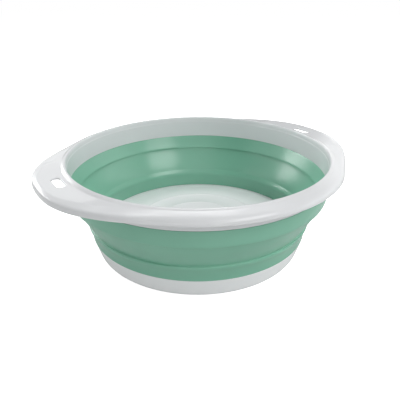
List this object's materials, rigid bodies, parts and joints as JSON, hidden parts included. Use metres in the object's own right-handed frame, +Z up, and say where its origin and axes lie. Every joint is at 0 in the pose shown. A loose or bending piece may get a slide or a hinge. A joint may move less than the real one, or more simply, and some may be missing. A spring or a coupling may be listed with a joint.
{
  "type": "collapsible bowl",
  "caption": "Round collapsible wash-up bowl: stiff rim with opposite handle tabs and hang-holes, soft wall that folds inside out, and stiff base.",
  "frame": {"origin": "on the surface that the bowl stands on, under the centre of the bowl, with the bowl open", "axes": "+Z up along the bowl's axis, +X through one handle tab, +Y across the tabs"},
  "size_m": [0.3758, 0.3358, 0.1165],
  "materials": {
    "stiff_white": "glossy moulded polypropylene, cool white",
    "soft_green": "satin moulded thermoplastic elastomer, sage green"
  },
  "bodies": {
    "base": {"base_dish": "stiff_white", "lower_wall": "soft_green", "fold_wall": "soft_green"},
    "rim": {"rim_ring": "stiff_white", "upper_wall": "soft_green"}
  },
  "joints": [
    {"name": "collapse", "type": "slide", "parent": "base", "child": "rim", "axis": [0, 0, -1], "range_m": [0, 0.0544], "deforming": ["fold_wall"]}
  ]
}
